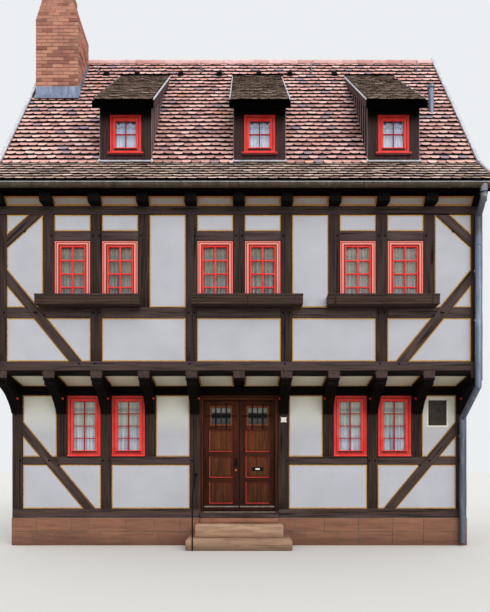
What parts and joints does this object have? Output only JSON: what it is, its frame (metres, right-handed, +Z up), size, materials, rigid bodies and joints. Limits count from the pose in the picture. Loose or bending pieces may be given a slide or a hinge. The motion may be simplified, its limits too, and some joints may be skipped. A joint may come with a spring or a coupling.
{
  "type": "half timbered house",
  "caption": "Timber framed town house with jettied upper storey, steep tiled roof with shed dormers, chimney and a double entrance door.",
  "frame": {"origin": "on the ground, below the ridge and below the middle joist of the front", "axes": "+X along the street front to the right, +Y from the street to the back, +Z up"},
  "size_m": [9.15, 7, 12.2],
  "materials": {
    "sandstone": "rough sandstone blocks",
    "step_stone": "worn sandstone",
    "timber": "dark brown painted oak, weathered",
    "plaster": "smooth limewashed plaster",
    "red_paint": "coral red gloss paint on wood",
    "glass": "clear window glass",
    "net_curtain": "white net",
    "box_brown": "brown stained boards",
    "floor_boards": "plain boards",
    "party_render": "plain pale render",
    "clay_tile": "weathered red brown clay tiles",
    "dormer_boards": "dark brown stained boards",
    "brick": "red brick",
    "zinc": "weathered zinc sheet",
    "door_wood": "brown varnished wood",
    "dark_iron": "black iron",
    "bronze": "dark bronze"
  },
  "bodies": {
    "house": {"attic_floor": "floor_boards", "chimney": "brick", "coving": "plaster", "door_head": "door_wood", "door_hinges": "dark_iron", "door_jambs": "door_wood", "door_sill": "timber", "dormer_cheeks": "dormer_boards", "dormer_fronts": "dormer_boards", "dormer_glass": "glass", "dormer_roofs": "clay_tile", "dormer_windows": "red_paint", "downpipes": "zinc", "floor_joists": "timber", "flower_boxes": "box_brown", "gables": "party_render", "ground_braces": "timber", "ground_floor": "floor_boards", "ground_infill": "plaster", "ground_party_walls": "party_render", "ground_plates": "timber", "ground_posts": "timber", "ground_rails": "timber", "ground_window_frames": "red_paint", "gutters": "zinc", "handrail": "dark_iron", "jetty_brackets": "timber", "joist_fillers": "timber", "lower_step": "step_stone", "net_curtains": "net_curtain", "plaque": "bronze", "plinth": "sandstone", "ridge_tiles": "clay_tile", "roof_back": "clay_tile", "roof_eaves": "clay_tile", "roof_front_strips": "clay_tile", "roof_front_top": "clay_tile", "threshold_stone": "step_stone", "upper_braces": "timber", "upper_floor": "floor_boards", "upper_infill": "plaster", "upper_party_walls": "party_render", "upper_plates": "timber", "upper_posts": "timber", "upper_rails": "timber", "upper_step": "step_stone", "upper_window_frames": "red_paint", "vent_pipe": "zinc", "verge_boards": "zinc", "window_glass": "glass"},
    "left_door": {"left_door_leaf": "door_wood", "left_door_glass": "glass", "left_door_grille": "dark_iron", "door_handle": "dark_iron"},
    "right_door": {"right_door_leaf": "door_wood", "right_door_glass": "glass", "right_door_grille": "dark_iron", "letter_plate": "dark_iron"}
  },
  "joints": [
    {"name": "left_door_hinge", "type": "hinge", "parent": "house", "child": "left_door", "pos_m": [-0.7075, -2.188, 1.75], "axis": [0, 0, 1], "range_deg": [0, 90]},
    {"name": "right_door_hinge", "type": "hinge", "parent": "house", "child": "right_door", "pos_m": [0.7075, -2.188, 1.75], "axis": [0, 0, -1], "range_deg": [0, 90]}
  ]
}
